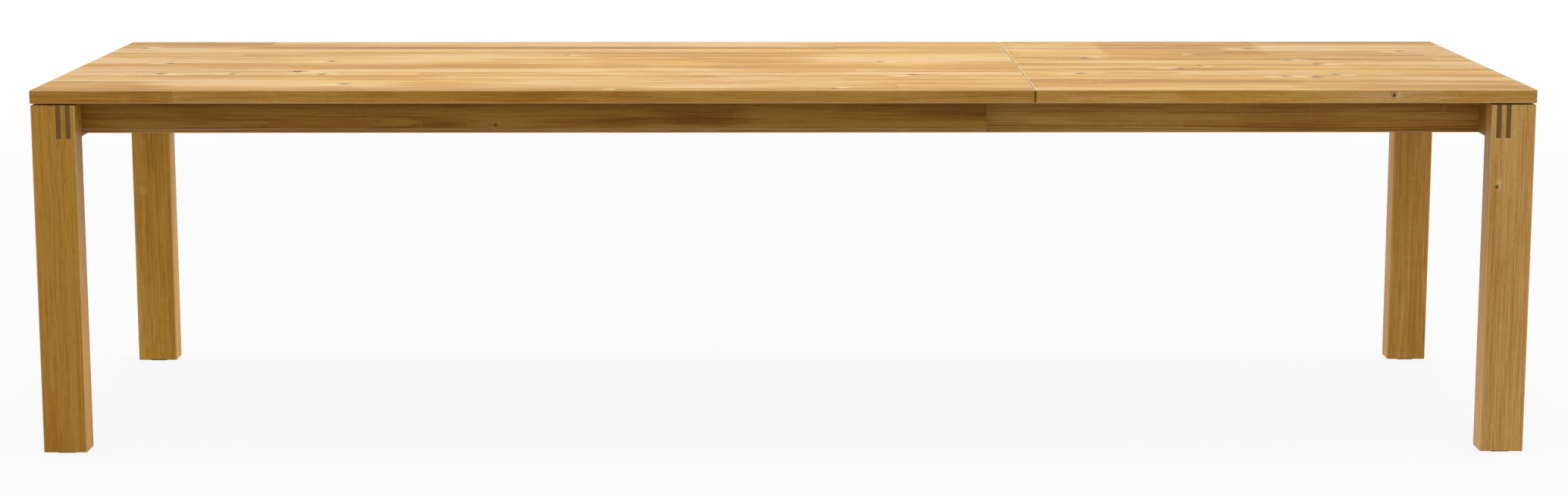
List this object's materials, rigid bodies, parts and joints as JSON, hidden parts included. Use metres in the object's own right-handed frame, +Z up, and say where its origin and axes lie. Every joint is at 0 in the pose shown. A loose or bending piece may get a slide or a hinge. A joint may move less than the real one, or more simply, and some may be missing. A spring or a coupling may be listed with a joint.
{
  "type": "extendable dining table",
  "caption": "Long rectangular oak dining table with block legs flush at the corners; one end of the frame pulls out on ball guides and carries a lift-off leaf.",
  "frame": {"origin": "on the floor, at the middle of the extended table's length and width", "axes": "+X along the table towards the end that pulls out, +Y to the back, +Z up"},
  "size_m": [3, 1, 0.74],
  "materials": {
    "top_oak": "oiled, satin",
    "leaf_oak": "oiled, satin",
    "leg_oak": "oiled, satin",
    "frame_oak": "oiled, satin",
    "bearer_oak": "oiled, satin",
    "rail_oak": "oiled, satin",
    "beech": "plain",
    "guide_aluminium": "mill finish",
    "batten_steel": "brushed",
    "cage_steel": "stamped strip",
    "ball_steel": "polished",
    "zinc_steel": "zinc plated",
    "black_rubber": "matte",
    "dark_felt": "pressed felt"
  },
  "bodies": {
    "fixed_frame": {"main_top": "top_oak", "main_top_battens": "batten_steel", "leg_left_front": "leg_oak", "leg_left_back": "leg_oak", "end_rail_left": "frame_oak", "apron_front": "frame_oak", "apron_back": "frame_oak", "bearer_front": "bearer_oak", "bearer_back": "bearer_oak", "guide_track_front": "guide_aluminium", "guide_track_back": "guide_aluminium", "track_bumpers": "black_rubber", "packing_pads": "dark_felt", "top_screws": "zinc_steel", "track_screws": "zinc_steel", "main_batten_screws": "zinc_steel", "frame_bolts_left": "zinc_steel", "barrel_nuts_left": "zinc_steel", "dowels_left": "beech", "foot_glides_left": "dark_felt", "catch_pivots": "zinc_steel"},
    "catch_front": {"catch_hook_front": "batten_steel"},
    "catch_back": {"catch_hook_back": "batten_steel"},
    "moving_frame": {"leg_right_front": "leg_oak", "leg_right_back": "leg_oak", "end_rail_right": "frame_oak", "sliding_rail_front": "rail_oak", "sliding_rail_back": "rail_oak", "cross_rail": "rail_oak", "seam_rail": "rail_oak", "guide_runner_front": "guide_aluminium", "guide_runner_back": "guide_aluminium", "runner_screws": "zinc_steel", "leaf_pads": "dark_felt", "frame_bolts_right": "zinc_steel", "barrel_nuts_right": "zinc_steel", "dowels_right": "beech", "foot_glides_right": "dark_felt"},
    "ball_cages": {"ball_cage_front": "cage_steel", "ball_cage_back": "cage_steel", "guide_balls_front": "ball_steel", "guide_balls_back": "ball_steel"},
    "leaf": {"leaf": "leaf_oak", "leaf_battens": "batten_steel", "leaf_batten_screws": "zinc_steel", "catch_pins": "zinc_steel"}
  },
  "joints": [
    {"name": "frame_slide", "type": "slide", "parent": "fixed_frame", "child": "moving_frame", "axis": [1, 0, 0], "range_m": [-1, 0]},
    {"name": "cage_travel", "type": "slide", "parent": "fixed_frame", "child": "ball_cages", "axis": [1, 0, 0], "range_m": [-0.5, 0]},
    {"name": "leaf_lift", "type": "slide", "parent": "fixed_frame", "child": "leaf", "axis": [0, 0, 1], "range_m": [0, 0.25]},
    {"name": "catch_front_turn", "type": "hinge", "parent": "fixed_frame", "child": "catch_front", "pos_m": [0.472, -0.29, 0.7167], "axis": [0, 0, -1], "range_deg": [0, 90]},
    {"name": "catch_back_turn", "type": "hinge", "parent": "fixed_frame", "child": "catch_back", "pos_m": [0.472, 0.29, 0.7167], "axis": [0, 0, 1], "range_deg": [0, 90]}
  ],
  "couplings": [
    {"joint": "cage_travel", "follows": "frame_slide", "ratio": 0.5}
  ]
}
